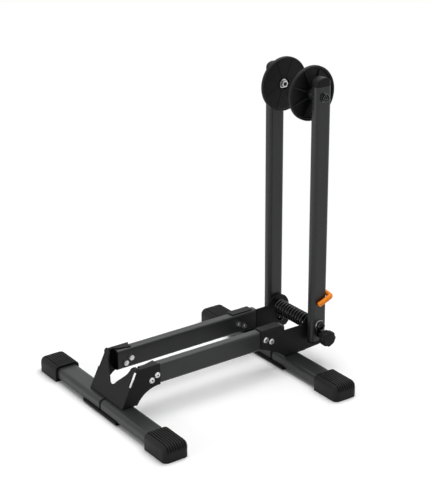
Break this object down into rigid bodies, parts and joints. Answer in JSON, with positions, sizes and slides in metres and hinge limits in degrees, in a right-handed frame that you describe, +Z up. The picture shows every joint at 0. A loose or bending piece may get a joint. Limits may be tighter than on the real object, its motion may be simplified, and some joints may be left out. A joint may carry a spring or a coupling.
{
  "type": "bike repair stand",
  "caption": "Folding floor stand that holds a bicycle by one wheel: cross feet, twin rails, a notched front plate and sprung, lockable posts with rollers.",
  "frame": {"origin": "on the floor, below the middle of the whole stand", "axes": "+X rearwards along the rails, from the notched front plate to the posts; +Y to the side away from the lock knob; +Z up"},
  "size_m": [0.535, 0.47, 0.626],
  "materials": {
    "tube_paint": "satin charcoal powder coat",
    "bracket_paint": "satin black powder coat",
    "boot_rubber": "matt moulded rubber",
    "black_plastic": "moulded polyethylene",
    "cap_plastic": "moulded polyethylene, fine texture",
    "roller_plastic": "moulded nylon",
    "knob_plastic": "moulded nylon, spark-eroded texture",
    "orange_grip": "satin vinyl sleeve with ribs",
    "spring_steel": "black coated spring wire",
    "zinc_steel": "bright zinc plate",
    "black_steel": "black oxide, oiled"
  },
  "bodies": {
    "base": {"front_foot_tube_near": "tube_paint", "front_foot_tube_far": "tube_paint", "rear_foot_tube_near": "tube_paint", "rear_foot_tube_far": "tube_paint", "front_foot_joiner": "black_plastic", "rear_foot_joiner": "black_plastic", "front_boot_near": "boot_rubber", "front_boot_far": "boot_rubber", "rear_boot_near": "boot_rubber", "rear_boot_far": "boot_rubber", "front_clamp_plate": "bracket_paint", "rear_clamp_plate": "bracket_paint", "clamp_studs": "zinc_steel", "clamp_nuts": "zinc_steel", "front_bracket": "bracket_paint", "rear_bracket": "bracket_paint", "rail_near": "tube_paint", "rail_far": "tube_paint", "rail_plugs": "black_plastic", "rail_bolts": "zinc_steel", "rail_nuts": "zinc_steel", "pivot_bushes": "black_plastic"},
    "uprights": {"pivot_rod": "zinc_steel", "pivot_washers": "black_steel", "pivot_nuts": "black_steel", "post_near": "tube_paint", "post_far": "tube_paint", "post_cap_near": "cap_plastic", "post_cap_far": "cap_plastic", "post_plugs": "black_plastic", "axle_bolts": "black_steel", "axle_sleeves": "zinc_steel", "axle_washers": "zinc_steel", "axle_nuts": "zinc_steel", "torsion_spring": "spring_steel", "spring_grip": "orange_grip", "lock_boss": "black_steel"},
    "roller_near": {"roller_near": "roller_plastic"},
    "roller_far": {"roller_far": "roller_plastic"},
    "lock_pad": {"lock_pad": "black_plastic"},
    "lock_screw": {"lock_screw": "zinc_steel", "lock_knob": "knob_plastic"}
  },
  "joints": [
    {"name": "post_swing", "type": "hinge", "parent": "base", "child": "uprights", "pos_m": [0.2125, 0, 0.09], "axis": [0, 1, 0], "range_deg": [-86, 12], "deforming": ["torsion_spring"]},
    {"name": "roller_near_spin", "type": "hinge", "parent": "uprights", "child": "roller_near", "pos_m": [0.2125, -0.0445, 0.571], "axis": [0, 1, 0], "continuous": true},
    {"name": "roller_far_spin", "type": "hinge", "parent": "uprights", "child": "roller_far", "pos_m": [0.2125, 0.0445, 0.571], "axis": [0, 1, 0], "continuous": true},
    {"name": "lock_pad_travel", "type": "slide", "parent": "uprights", "child": "lock_pad", "axis": [0, -1, 0], "range_m": [0, 0.0025]},
    {"name": "lock_knob_turn", "type": "hinge", "parent": "lock_pad", "child": "lock_screw", "pos_m": [0.2125, -0.1, 0.0705], "axis": [0, -1, 0], "range_deg": [0, 720]}
  ],
  "couplings": [
    {"joint": "lock_knob_turn", "follows": "lock_pad_travel", "rad_per_m": 5026.5}
  ]
}
